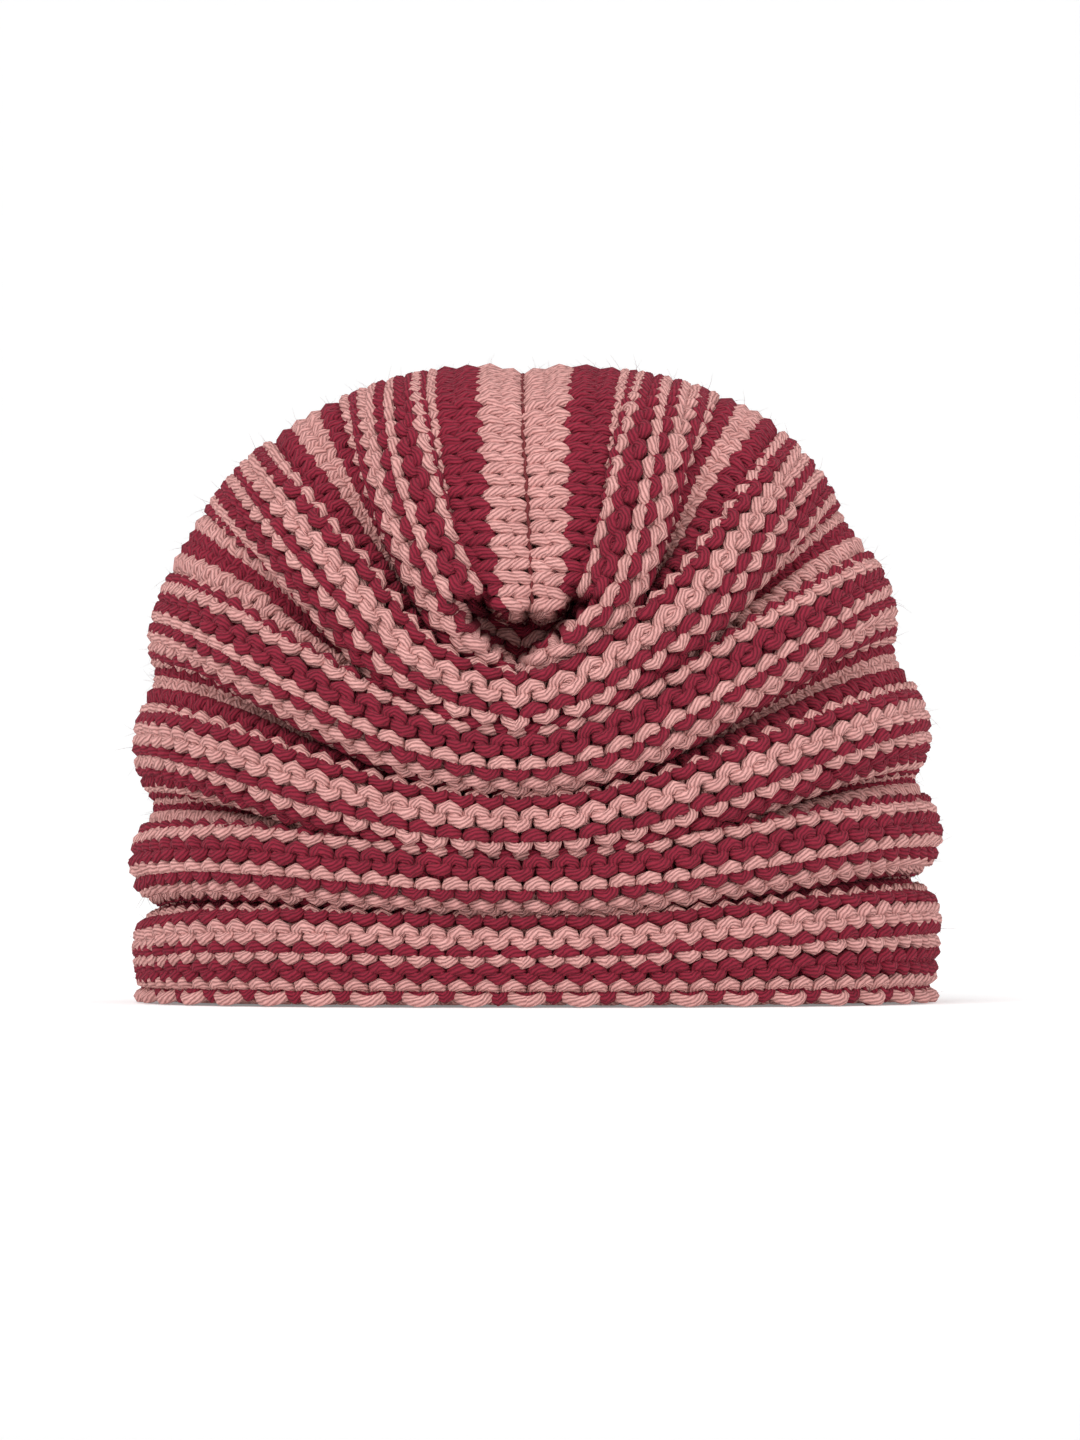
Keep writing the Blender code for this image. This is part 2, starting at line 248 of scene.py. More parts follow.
def side_profile(half_width, height, foot):
    """Share of the way from the brim to the crown, half width, height and both half depths."""
    band = np.linspace(0.0, 1.0, BAND_SAMPLES)[:-1]
    turn = np.linspace(0.0, math.pi / 2, DOME_SAMPLES)
    half = np.concatenate([
        half_width - BRIM_TAPER * (1 - band) ** 2,
        half_width * np.cos(turn) ** (2 / DOME_POWER),
    ])
    rise = np.concatenate([
        foot + (SHOULDER_HEIGHT - foot) * band,
        SHOULDER_HEIGHT + (height - SHOULDER_HEIGHT) * np.sin(turn) ** (2 / DOME_POWER),
    ])
    half[-1] = 0.0
    way = np.concatenate([[0.0], np.cumsum(np.hypot(np.diff(half), np.diff(rise)))])
    share = np.clip((rise - SHOULDER_HEIGHT) / (height - SHOULDER_HEIGHT), 0, 1)
    depths = []
    for power in (FRONT_DOME_POWER, BACK_DOME_POWER):
        dome = half_width * (1 - share ** power) ** (1 / power)
        dome = np.minimum(dome, CROWN_STRETCH * half)
        depths.append(DEPTH_SHARE * np.where(share > 0, dome, half))
    return way / way[-1], half, rise, *depths


def unit(vectors):
    """The vectors at length one."""
    return vectors / np.maximum(np.linalg.norm(vectors, axis=-1, keepdims=True), TINY)


def smooth_step(values):
    """From 0 to 1 with a level start and end."""
    part = np.clip(values, 0, 1)
    return part * part * (3 - 2 * part)


def table_value(columns, table, name, places):
    """One column of a table, read between its lines."""
    place = columns.index(name)
    known = [line[0] for line in table]
    values = [line[place] for line in table]
    return np.interp(places, known, values)


def row_value(name, rows):
    """One column of the row table at the given rows."""
    return table_value(ROW_COLUMNS, ROW_TABLE, name, rows)


def lean_at(height, name):
    """How far the middle or the sides of the hat lean to the right at a height."""
    return table_value(LEAN_COLUMNS, LEAN_TABLE, name, height)


def row_on_map(row, turn):
    """Map points of one row at the given turns, 0 being the front centre."""
    power = 2 / row_value("power", row)
    sine, cosine = np.sin(turn), np.cos(turn)
    side = row_value("side", row) - row_value("lean", row) * np.sign(sine)
    side = np.where(row_value("side", row) > 0, side, 0.0)
    reach = np.where(cosine > 0, row_value("front", row), row_value("back", row))
    map_x = side * np.sign(sine) * np.abs(sine) ** power
    map_y = -reach * np.sign(cosine) * np.abs(cosine) ** power
    point = row_value("point", row) * np.exp(-np.abs(map_x) / POINT_WIDTH)
    return map_x, map_y - point * np.maximum(cosine, 0)


def fold_tables():
    """For a range of fold strengths: how far a fold advances, and its shape."""
    strengths = np.linspace(0.0, FOLD_LIMIT, FOLD_LINES)
    turn = np.linspace(-math.pi, math.pi, FOLD_TURNS + 1)
    angle = -strengths[:, None] * np.sin(turn - RIDGE_SPREAD * np.sin(turn))[None, :]
    ridge = FOLD_TURNS // 2

    def summed(values):
        middle = (values[:, 1:] + values[:, :-1]) / (2 * FOLD_TURNS)
        total = np.concatenate([np.zeros((len(values), 1)), np.cumsum(middle, axis=1)], axis=1)
        return total - total[:, ridge:ridge + 1]

    advance = np.cos(angle)[:, :-1].mean(axis=1)
    shift = summed(np.cos(angle)) - advance[:, None] * (turn / (2 * math.pi))[None, :]
    rise = summed(np.sin(angle))
    return strengths, advance, turn, shift, rise, angle


def read_fold(table, strengths, turn, strength, phase):
    """Read a fold table between its lines at a strength and a phase."""
    place = np.clip(strength / strengths[-1], 0, 1) * (len(strengths) - 1)
    low = np.minimum(place.astype(int), len(strengths) - 2)
    part = place - low
    spot = (phase + math.pi) / (2 * math.pi) * (len(turn) - 1)
    left = np.clip(spot.astype(int), 0, len(turn) - 2)
    rest = spot - left
    first = table[low, left] * (1 - rest) + table[low, left + 1] * rest
    second = table[low + 1, left] * (1 - rest) + table[low + 1, left + 1] * rest
    return first * (1 - part) + second * part


def tucked(points):
    """The points with the front wall pulled in round the end of the seam."""
    across = np.abs(points[..., 0] - lean_at(TUCK_TOP, "middle"))
    low = TUCK_POINT + TUCK_SLOPE * np.abs(points[..., 0] - lean_at(TUCK_POINT, "middle"))
    beyond = np.minimum(across / TUCK_HALF_WIDTH, TUCK_ROUNDING_REACH)
    top = TUCK_TOP + TUCK_ROUNDING * beyond ** 4
    top = top + TUCK_NOTCH * np.exp(-(across / TUCK_NOTCH_WIDTH) ** 2)
    pull = smooth_step((top - points[..., 2]) / TUCK_EDGE + 0.5)
    pull = pull * smooth_step((points[..., 2] - low) / TUCK_EDGE + 0.5)
    beside = np.maximum(across - TUCK_HALF_WIDTH, 0) / TUCK_SIDE_FADE
    front = np.clip(-points[..., 1] / TUCK_FADE, 0, 1)
    moved = points.copy()
    moved[..., 1] += TUCK_DEPTH * pull * front * np.exp(-beside ** 2)
    return moved


def turns_by_direction(row, start):
    """Half a round of turns from the start, evenly spread in direction on the map."""
    direction = np.linspace(0.0, math.pi, TURN_SAMPLES)
    power = row_value("power", row) / 2
    cosine = np.cos(direction)
    return start + np.arctan2(
        np.sin(direction).clip(0) ** power, np.sign(cosine) * np.abs(cosine) ** power)


class Cloth:
    """Middle of the knitted wall, read at any wale and row."""

    def __init__(self, half_width, height, foot, outer):
        self.profile = side_profile(half_width, height, foot)
        self.outer = outer
        self.rows = np.linspace(0.0, LAST_ROW, LAST_ROW * GRID_PER_ROW + 1)
        self.columns = WALES * GRID_PER_WALE
        self.points, self.normals = self.fold()

    def envelope(self, map_x, map_y):
        """Point of the smooth outer form over a point of the map."""
        way, half, height, ahead, behind = self.profile
        out = (np.abs(map_x) ** PLAN_POWER + np.abs(map_y) ** PLAN_POWER) ** (1 / PLAN_POWER)
        out = np.maximum(out, TINY)
        z = np.interp(1 - out, way, height)
        beside = np.minimum(map_x ** 2 / (out ** 2 + CROWN_MIDDLE ** 2), 1)
        x = np.interp(1 - out, way, half) / out * map_x
        x = x + lean_at(z, "middle") * (1 - beside) + lean_at(z, "sides") * beside
        y = np.interp(1 - out, way, ahead)
        y = np.where(map_y > 0, np.interp(1 - out, way, behind), y) / out * map_y
        return np.stack([x, y, z], axis=-1)

    def facing(self, map_x, map_y):
        """Outward direction of the smooth outer form."""
        along_x = self.envelope(map_x + MAP_STEP, map_y) - self.envelope(map_x - MAP_STEP, map_y)
        along_y = self.envelope(map_x, map_y + MAP_STEP) - self.envelope(map_x, map_y - MAP_STEP)
        return unit(np.cross(along_x, along_y))

    def column_turns(self, row):
        """Turns of the columns on one row, a little wider apart at the front of the crown."""
        stretch = FRONT_STRETCH * (row / LAST_ROW) ** 2
        share = np.linspace(0.0, 1.0, self.columns // 2 + 1)[:-1]
        turns = []
        for start, lean in ((0.0, stretch), (math.pi, -stretch)):
            dense = turns_by_direction(row, start)
            points = self.envelope(*row_on_map(row, dense))
            steps = np.linalg.norm(np.diff(points, axis=0), axis=1)
            way = np.concatenate([[0.0], np.cumsum(steps)])
            wanted = way[-1] * (share + lean * np.sin(math.pi * share) / math.pi)
            turns.append(np.interp(wanted, way, dense))
        return np.concatenate(turns)

    def unfolded(self):
        """Map places, direction round the hat and way up each column, before folding."""
        maps = [row_on_map(row, self.column_turns(min(row, PANEL_ROW))) for row in self.rows]
        map_x = np.array([pair[0] for pair in maps])
        map_y = np.array([pair[1] for pair in maps])
        base = self.envelope(map_x, map_y)
        around = unit(np.roll(base, -1, axis=1) - np.roll(base, 1, axis=1))
        along = np.diff(base, axis=0)
        across = (along * around[1:]).sum(axis=-1, keepdims=True) * around[1:]
        steps = np.linalg.norm(along - across, axis=-1)
        way = np.concatenate([np.zeros((1, self.columns)), np.cumsum(steps, axis=0)])
        return map_x, map_y, around, way

    def fold_ends(self):
        """Grid lines of the ridges below and above each line."""
        welt = np.floor((self.rows - FIRST_RIDGE_ROW) / WELT_ROWS)
        below = welt * WELT_ROWS + FIRST_RIDGE_ROW
        above = np.minimum(below + WELT_ROWS, float(LAST_ROW))
        first = np.rint(np.maximum(below, 0.0) * GRID_PER_ROW).astype(int)
        last = np.rint(above * GRID_PER_ROW).astype(int)
        return first, np.maximum(last, first + 1)

    def fold(self):
        """Grid of points and outward directions, folded into welts."""
        rows = np.repeat(self.rows[:, None], self.columns, axis=1)
        map_x, map_y, around, way = self.unfolded()
        strengths, advance, turn, shift, rise, slope = fold_tables()
        first, last = self.fold_ends()
        span = way[last] - way[first]
        per_row = span / (self.rows[last] - self.rows[first])[:, None]

        brim = BRIM_FOLD_SHARE + (1 - BRIM_FOLD_SHARE) * np.clip(rows / BRIM_FADE_ROWS, 0, 1)
        start, end = CROWN_FADE_ROWS
        fade = smooth_step((end - rows) / (end - start))
        outward = self.facing(map_x, map_y)
        front = smooth_step(np.abs(outward[..., 1]) / FOLD_FULL_FACING)[(first + last) // 2]
        strength = np.interp(-per_row / ROW_PITCH, -advance, strengths)
        strength = strength * (front + (1 - front) * np.minimum(SIDE_SLACK * strength, 1))
        strength = strength * brim * fade
        length = WELT_ROWS * per_row / np.interp(strength, strengths, advance)
        crowding = np.clip(WELT_ROWS * RIDGE_ROW_PITCH / length - 1, 0, ROW_CROWDING)
        crowding = crowding * fade * brim

        def turned(lines):
            angle = 2 * math.pi * (rows[lines] - FIRST_RIDGE_ROW) / WELT_ROWS
            return angle + crowding[lines] * np.sin(angle)

        whole = turned(np.arange(len(rows)))
        begun, ended = turned(first), turned(last)
        share = (whole - begun) / (ended - begun)
        phase = np.mod(whole + math.pi, 2 * math.pi) - math.pi

        def folded(table):
            return read_fold(table, strengths, turn, strength, phase)

        depth = folded(rise) * length
        target = fade * (way[first] + share * span) + (1 - fade) * way
        target = target + folded(shift) * length
        new_x, new_y = np.empty_like(map_x), np.empty_like(map_y)
        for column in range(self.columns):
            new_x[:, column] = np.interp(target[:, column], way[:, column], map_x[:, column])
            new_y[:, column] = np.interp(target[:, column], way[:, column], map_y[:, column])
        outward = self.facing(new_x, new_y)
        dip = np.clip((rows - LAST_ROW + SEAM_DIP_ROWS) / SEAM_DIP_ROWS, 0, 1) ** 2 * SEAM_DIP
        start, end = PANEL_DIP_ROWS
        sunk = smooth_step((rows - start) / (end - start))
        dip = dip + PANEL_DIP * sunk * np.clip(-outward[..., 1], 0, 1)
        middle = self.envelope(new_x, new_y) + outward * (depth - dip - self.outer)[..., None]
        upward = unit(np.cross(outward, around))
        tilt = folded(slope)
        normal = unit(outward * np.cos(tilt)[..., None] - upward * np.sin(tilt)[..., None])
        return middle, normal

    def spot(self, wale, row, lift):
        """Points at wales and rows, lifted off the middle of the wall."""
        column = np.mod(wale * GRID_PER_WALE, self.columns)
        line = np.clip(row, 0.0, float(LAST_ROW)) * GRID_PER_ROW
        left = np.floor(column).astype(int) % self.columns
        right = (left + 1) % self.columns
        low = np.minimum(line.astype(int), len(self.rows) - 2)
        part_u = (column - np.floor(column))[..., None]
        part_v = (line - low)[..., None]

        def read(grid):
            lower = grid[low, left] * (1 - part_u) + grid[low, right] * part_u
            upper = grid[low + 1, left] * (1 - part_u) + grid[low + 1, right] * part_u
            return lower * (1 - part_v) + upper * part_v

        outward = unit(read(self.normals))
        points = read(self.points) + outward * np.asarray(lift)[..., None]
        over = np.maximum(row - LAST_ROW, 0.0)[..., None] * ROW_PITCH
        under = np.minimum(row, 0.0)[..., None]
        points = points - outward * (over - under * FOOT_ROW_INWARD)
        points[..., 2] += under[..., 0] * FOOT_ROW_PITCH
        return tucked(points)


CLOTHS = {}


def cloth_of(shape, yarn):
    """The wall for the sizes in the panel, worked out once."""
    outer = yarn.lift + yarn.radius
    key = (shape.width, shape.height, shape.foot, outer)
    if key not in CLOTHS:
        CLOTHS[key] = Cloth(shape.width / 2, shape.height, shape.foot, outer)
    return CLOTHS[key]


class Term:
    """A number socket in a shader that plain arithmetic works on."""

    def __init__(self, maker, socket):
        self.maker = maker
        self.socket = socket

    def maths(self, operation, *values):
        """A Math node on the given values."""
        return self.maker.number("ShaderNodeMath", {"operation": operation}, *values)

    def __add__(self, other):
        return self.maths("ADD", self, other)

    def __radd__(self, other):
        return self.maths("ADD", other, self)

    def __mul__(self, other):
        return self.maths("MULTIPLY", self, other)

    def __rmul__(self, other):
        return self.maths("MULTIPLY", other, self)

    def __pow__(self, other):
        return self.maths("POWER", self, other)

    def __rpow__(self, other):
        return self.maths("POWER", other, self)

    def __abs__(self):
        return self.maths("ABSOLUTE", self)

    def sine(self):
        """Its sine."""
        return self.maths("SINE", self)


class NodeMaker:
    """Adds nodes to one tree."""

    def __init__(self, tree):
        self.tree = tree

    def add(self, kind, settings=None, values=None):
        """A node of a kind, with its settings first and then its sockets' values or links."""
        node = self.tree.nodes.new(kind)
        for name, value in (settings or {}).items():
            setattr(node, name, value)
        for place, value in (values or {}).items():
            self.feed(node.inputs[place], value)
        return node

    def feed(self, socket, value):
        """Link or set one socket."""
        if isinstance(value, Term):
            value = value.socket
        if isinstance(value, bpy.types.NodeSocket):
            self.tree.links.new(value, socket)
        else:
            socket.default_value = value

    def number(self, kind, settings, *values):
        """A node whose first output is a number."""
        return Term(self, self.add(kind, settings, dict(enumerate(values))).outputs[0])


def fresh_material(name):
    """An empty material with its maker, output and main shader."""
    material = bpy.data.materials.new(name)
    material.use_nodes = True
    material.node_tree.nodes.clear()
    maker = NodeMaker(material.node_tree)
    shader = maker.add("ShaderNodeBsdfPrincipled")
    maker.add("ShaderNodeOutputMaterial", None, {"Surface": shader.outputs["BSDF"]})
    return material, maker, shader


def wool_material(name, colour, yarn, contrast, depth):
    """Plied wool: twisted strands with painted shade in the grooves between them, fluffy and
    uneven.

    A depth above 1 makes the painted groove shade and the random tone stronger in the green and
    blue parts than in the red's.
    """
    material, maker, shader = fresh_material(name)
    place = maker.add("ShaderNodeUVMap", {"uv_map": "yarn"})
    parts = maker.add("ShaderNodeSeparateXYZ", None, {0: place.outputs["UV"]})
    along, around = (Term(maker, parts.outputs[axis]) for axis in ("X", "Y"))
    spot = maker.add("ShaderNodeTexCoord").outputs["Object"]
    fray, fluff, blotch = (
        Term(maker, maker.add("ShaderNodeTexNoise", None, {"Vector": spot, **noise}).outputs["Fac"])
        for noise in (FRAY_NOISE, FLUFF_NOISE, BLOTCH_NOISE))
    twist = around * PLIES + along + fray * PLY_FRAY
    strand = abs((twist * math.pi).sine()) ** PLY_SHARPNESS
    # Painted shade: the colour is darkened in the grooves between strands, on top of their bump.
    shade = (1 - contrast) + strand * contrast
    for noise in (blotch, fluff):
        shade = shade * (NOISE_DARKEST + noise * NOISE_RANGE)
    # Painted shade and random tone, taken to a power in green and blue so crests look paler.
    cool = shade ** depth
    tint = maker.add("ShaderNodeCombineXYZ", None, {0: shade, 1: cool, 2: cool})
    painted = maker.add("ShaderNodeMix", {"data_type": "RGBA", "blend_type": "MULTIPLY"}, {
        "Factor": 1.0, MIX_FIRST: (*colour, 1.0), MIX_SECOND: tint.outputs[0]})
    bump = maker.add("ShaderNodeBump", None, {
        "Height": strand * yarn.ply_depth + fluff * yarn.fluff_depth,
        "Strength": 1.0, "Distance": 1.0})
    sheen = [SHEEN_WHITE + (1 - SHEEN_WHITE) * part for part in colour]
    surface = {
        "Base Color": painted.outputs[MIX_RESULT], "Normal": bump.outputs["Normal"],
        "Sheen Tint": (*sheen, 1.0), **WOOL_SURFACE}
    for label, value in surface.items():
        maker.feed(shader.inputs[label], value)
    material.diffuse_color = (*colour, 1.0)
    return material


def wool_of(colour):
    """The material of one of the wools, made on first use."""
    name = colour + "_yarn"
    known = bpy.data.materials.get(name)
    if known:
        return known
    scene = bpy.context.scene
    shown = tuple(getattr(scene.beanie_colours, colour))
    return wool_material(name, shown, scene.beanie_yarn, *WOOL_LOOKS[colour])


def yarn_tree():
    """Geometry nodes that turn polylines into round yarn."""
    known = bpy.data.node_groups.get("yarn_on_path")
    if known:
        return known
    tree = bpy.data.node_groups.new("yarn_on_path", "GeometryNodeTree")
    for label, way, kind in (
            ("Geometry", "INPUT", "Geometry"), ("Yarn Radius", "INPUT", "Float"),
            ("Sides", "INPUT", "Int"), ("Wool", "INPUT", "Material"),
            ("Geometry", "OUTPUT", "Geometry")):
        tree.interface.new_socket(label, in_out=way, socket_type="NodeSocket" + kind)
    maker = NodeMaker(tree)
    given = maker.add("NodeGroupInput").outputs
    circle = maker.add("GeometryNodeCurvePrimitiveCircle", {"mode": "RADIUS"}, {
        "Resolution": given["Sides"], "Radius": given["Yarn Radius"]})
    index = maker.add("GeometryNodeInputIndex").outputs[0]
    share = maker.number("ShaderNodeMath", {"operation": "DIVIDE"}, index, given["Sides"])
    profile = maker.add("GeometryNodeStoreNamedAttribute", {
        "data_type": "FLOAT", "domain": "POINT"}, {
        "Geometry": circle.outputs["Curve"], "Name": "around", "Value": share})
    path = maker.add("GeometryNodeMeshToCurve", None, {"Mesh": given["Geometry"]})
    thickness = maker.add("GeometryNodeInputNamedAttribute", {"data_type": "FLOAT"}, {
        "Name": "thickness"}).outputs["Attribute"]
    tube = maker.add("GeometryNodeCurveToMesh", None, {
        "Curve": path.outputs["Curve"], "Profile Curve": profile.outputs["Geometry"],
        "Scale": thickness, "Fill Caps": True})
    smooth = maker.add("GeometryNodeSetShadeSmooth", None, {"Geometry": tube.outputs["Mesh"]})
    real = maker.add("GeometryNodeRealizeInstances", None, {
        "Geometry": smooth.outputs["Geometry"]})
    painted = maker.add("GeometryNodeSetMaterial", None, {
        "Geometry": real.outputs["Geometry"], "Material": given["Wool"]})
    maker.add("NodeGroupOutput", None, {"Geometry": painted.outputs["Geometry"]})
    return tree


def set_inputs(modifier, values):
    """Set a geometry nodes modifier's inputs by their sockets' identifiers."""
    for item in modifier.node_group.interface.items_tree:
        if item.in_out == "INPUT" and item.name in values:
            modifier[item.identifier] = values[item.name]


def steps_of(path):
    """Lengths from each point of a path to the next, the last one back to the start."""
    return np.linalg.norm(np.roll(path, -1, axis=0) - path, axis=1)


def polylines(name, paths, closed, taper):
    """A mesh of edges along the paths, with each point's path, way along and thickness."""
    counts = [len(path) for path in paths]
    starts = np.concatenate([[0], np.cumsum(counts)[:-1]])
    edges, along, place, thickness = [], [], [], []
    for number, path in enumerate(paths):
        along.append(np.concatenate([[0.0], np.cumsum(steps_of(path))[:-1]]))
        place.append(np.full(len(path), float(number)))
        thickness.append(np.interp(np.linspace(0, 1, len(path)), *taper))
        index = np.arange(len(path)) + starts[number]
        ring = np.stack([index, np.roll(index, -1)], axis=1)
        edges.append(ring if closed else ring[:-1])
    mesh = bpy.data.meshes.new(name)
    points = np.concatenate(paths)
    edges = np.concatenate(edges)
    mesh.vertices.add(len(points))
    mesh.vertices.foreach_set("co", points.ravel())
    mesh.edges.add(len(edges))
    mesh.edges.foreach_set("vertices", edges.ravel().astype(np.int32))
    for label, values in (("along", along), ("path", place), ("thickness", thickness)):
        attribute = mesh.attributes.new(label, "FLOAT", "POINT")
        attribute.data.foreach_set("value", np.concatenate(values).astype(np.float32))
    mesh.update()
    holder = bpy.data.objects.new(name, mesh)
    bpy.context.scene.collection.objects.link(holder)
    return holder


def whole_numbers(items, label):
    """A whole-number property of every item."""
    data = np.empty(len(items), np.int32)
    items.foreach_get(label, data)
    return data


def at_corners(mesh, label):
    """A point attribute of a mesh, read at every corner of its faces."""
    data = np.empty(len(mesh.vertices), np.float32)
    mesh.attributes[label].data.foreach_get("value", data)
    return data.astype(float)[whole_numbers(mesh.loops, "vertex_index")]


def lay_out(mesh, paths, closed, yarn_radius, ply_spacing):
    """Give yarn its two maps: strips for baking, and the way along and round the yarn."""
    along, around, number = (at_corners(mesh, label) for label in ("along", "around", "path"))
    number = np.rint(number).astype(int)
    last_step = None if closed else -1
    lengths = np.array([steps_of(path)[:last_step].sum() for path in paths])
    whole = lengths[number]
    starts = whole_numbers(mesh.polygons, "loop_start")
    sides = whole_numbers(mesh.polygons, "loop_total")
    face = np.repeat(np.arange(len(starts)), sides)

    def face_low(data):
        return np.minimum.reduceat(data, starts)[face]

    def face_high(data):
        return np.maximum.reduceat(data, starts)[face]

    # Faces over the seam of either way are read on past its end.  End caps have no seam.
    wrapped = face_high(along) - face_low(along) > whole / 2
    along = along + np.where(wrapped & (along < whole / 2), whole, 0.0)
    wrapped = face_high(around) - face_low(around) > 0.5
    around = around + np.where(wrapped & (around < 0.5) & (sides[face] == 4), 1.0, 0.0)

    width = 2 * math.pi * yarn_radius
    runs = max(1, round(math.sqrt(lengths.mean() / (len(paths) * width))))
    run_length = lengths.max() / runs
    run = np.clip(np.floor((face_low(along) + TINY) / run_length), 0, runs - 1)
    strip = number * runs + run + STRIP_GAP / 2 + around * (1 - STRIP_GAP)
    across = strip / (runs * len(paths))
    lengthwise = STRIP_START + STRIP_LENGTH * ((along - run * run_length) / run_length)
    for label, first, second in (
            ("OFBake", lengthwise, across), ("yarn", along / ply_spacing, around)):
        layer = mesh.uv_layers.new(name=label)
        pairs = np.stack([first, second], axis=1)
        layer.data.foreach_set("uv", pairs.ravel().astype(np.float32))
    mesh.uv_layers["OFBake"].active = True
    mesh.uv_layers["OFBake"].active_render = True
    for label in ("along", "around", "path", "thickness"):
        mesh.attributes.remove(mesh.attributes[label])


def spin_yarn(name, paths, closed, radius, colour, sides=YARN_SIDES, taper=EVEN_THICKNESS):
    """A finished piece of yarn that follows the paths."""
    holder = polylines(name + "_path", paths, closed, taper)
    modifier = holder.modifiers.new("yarn", "NODES")
    modifier.node_group = yarn_tree()
    set_inputs(modifier, {"Yarn Radius": radius, "Sides": sides, "Wool": wool_of(colour)})
    depsgraph = bpy.context.evaluated_depsgraph_get()
    mesh = bpy.data.meshes.new_from_object(holder.evaluated_get(depsgraph))
    mesh.name = name
    holder.modifiers.remove(modifier)
    bpy.data.objects.remove(holder, do_unlink=True)
    if not mesh.polygons:
        raise RuntimeError(f"{name} came out without faces")
    lay_out(mesh, paths, closed, radius, bpy.context.scene.beanie_yarn.ply_spacing)
    piece = bpy.data.objects.new(name, mesh)
    bpy.context.scene.collection.objects.link(piece)
    return piece


def purl_sign(row):
    """1 on a row that bulges out, and -1 on one that turns in."""
    return 1.0 if (row - 1) % WELT_ROWS < PURL_ROWS else -1.0


def row_is_pink(row):
    """Whether a row is knitted in the pale wool."""
    return row % STRIPE_ROWS in (0, STRIPE_ROWS - 1)


def stitch_turns():
    """Turns along one round of stitches, one whole turn for each stitch."""
    return np.arange(WALES * STITCH_POINTS) * 2 * math.pi / STITCH_POINTS


def row_path(cloth, row, yarn, rng):
    """One round of stitches as a closed path."""
    turn = stitch_turns()
    uneven = rng.normal(0.0, 1.0, (3, WALES + 1))
    uneven[:, -1] = uneven[:, 0]
    place = turn / (2 * math.pi)
    uneven = np.array([np.interp(place, np.arange(WALES + 1), line) for line in uneven])
    here, above = purl_sign(row), purl_sign(min(row + 1, LAST_ROW))
    bulge = PURL_BULGE if here > 0 else KNIT_BULGE
    wale = (turn + bulge * np.sin(2 * turn) - LOOP_SKEW * np.cos(turn)) / (2 * math.pi)
    wale = wale + uneven[0] * yarn.unevenness * UNEVEN_WALES
    reach = LOOP_REACH_ROWS * (1 + uneven[1] * yarn.unevenness * UNEVEN_REACH)
    level = row - 0.5 - reach * np.cos(turn)
    tip, body = (here - above) / 2, (here + above) / 2
    lift = yarn.lift * (tip * np.cos(turn) + body * np.cos(2 * turn))
    lift = lift + uneven[2] * yarn.unevenness * yarn.lift * UNEVEN_LIFT
    return cloth.spot(wale, level, lift)


def knitted_rows(scene):
    """The wall, the path of every row, and the random numbers that go on from them."""
    yarn = scene.beanie_yarn
    cloth = cloth_of(scene.beanie_shape, yarn)
    rng = np.random.default_rng(yarn.seed)
    paths = {row: row_path(cloth, row, yarn, rng) for row in range(1, LAST_ROW + 1)}
    return cloth, paths, rng


def fibre_paths(cloth, paths, count, rng):
    """Loose fibres that start in the yarn and curl away from the wall."""
    line = np.concatenate(paths)
    ahead = unit(np.concatenate([np.roll(path, -1, axis=0) - path for path in paths]))
    chosen = rng.integers(0, len(line), count)
    start, ahead = line[chosen], ahead[chosen]
    middle = np.array([0.0, 0.0, cloth.profile[2].max() / 2])
    outward = unit(start - middle)
    stray = rng.normal(0.0, 1.0, (2, count, 3))
    way = unit(outward + FIBRE_STRAY * stray[0] + FIBRE_AHEAD * ahead)
    curl = unit(np.cross(way, stray[1])) * FIBRE_CURL
    length = rng.uniform(*FIBRE_LENGTHS, count)[:, None]
    share = np.linspace(0.0, 1.0, FIBRE_POINTS)
    fibres = np.array([start + length * (way * part + curl * part * part) for part in share])
    fibres = fibres.transpose(1, 0, 2)
    return [fibre for fibre in fibres if fibre[:, 2].min() > FIBRE_FLOOR_GAP]


def cast_on_path(cloth):
    """The cast-on chain: one lump in front of each pair of stitches, then a step inside."""
    pair = 2 * math.pi * np.arange(WALES // 2 * EDGE_POINTS) / EDGE_POINTS
    wale = (pair + EDGE_SLIP * np.sin(pair)) / math.pi
    lift = EDGE_SWELL * np.cos(pair) - EDGE_INWARD
    points = cloth.spot(wale, np.zeros_like(wale), lift)
    points[:, 2] = EDGE_MIDDLE - EDGE_DROP * np.cos(pair)
    return points


def cast_on_heads(cloth, yarn):
    """The heads of the cast-on stitches, which hold the first row."""
    turn = stitch_turns()
    wale = (turn + PURL_BULGE * np.sin(2 * turn)) / (2 * math.pi)
    cosine = np.cos(turn)
    level = HEAD_ROW - np.where(cosine > 0, HEAD_REACH_DOWN, HEAD_REACH_UP) * cosine
    behind = -1 - HEAD_INWARD * cosine
    lift = yarn.lift * np.where(cosine > 0, behind, np.cos(2 * turn))
    points = cloth.spot(wale, level, lift)
    points[:, 2] = np.maximum(points[:, 2], yarn.radius + HEAD_FLOOR_GAP)
    return points


def seam_path(cloth, radius):
    """The sewing yarn in the groove over the crown, from the front end to the back."""
    share = np.linspace(*SEAM_SHARE, SEAM_POINTS)
    wale = share * WALES / 2
    stitch = 2 * math.pi * wale
    lift = radius + SEAM_LIFT + SEAM_SWING * np.cos(stitch)
    points = cloth.spot(wale, np.full(SEAM_POINTS, float(LAST_ROW)), lift)
    points[:, 0] += SEAM_SWING * np.sin(stitch)
    return points


class BeanieShape(bpy.types.PropertyGroup):
    """Outer sizes of the hat."""

    width: FloatProperty(
        name="Width", description="Width of the hat from side to side",
        default=BODY_BOX[1].x - BODY_BOX[0].x, min=0.1, max=0.4, unit="LENGTH")
    height: FloatProperty(
        name="Height", description="Height of the smooth crown above the floor",
        default=BODY_BOX[1].z, min=0.1, max=0.4, unit="LENGTH")
    foot: FloatProperty(
        name="Foot", description="Height at which the first row starts",
        default=EDGE_BOX[1].z + EDGE_GAP, min=0.0, max=0.02, unit="LENGTH")


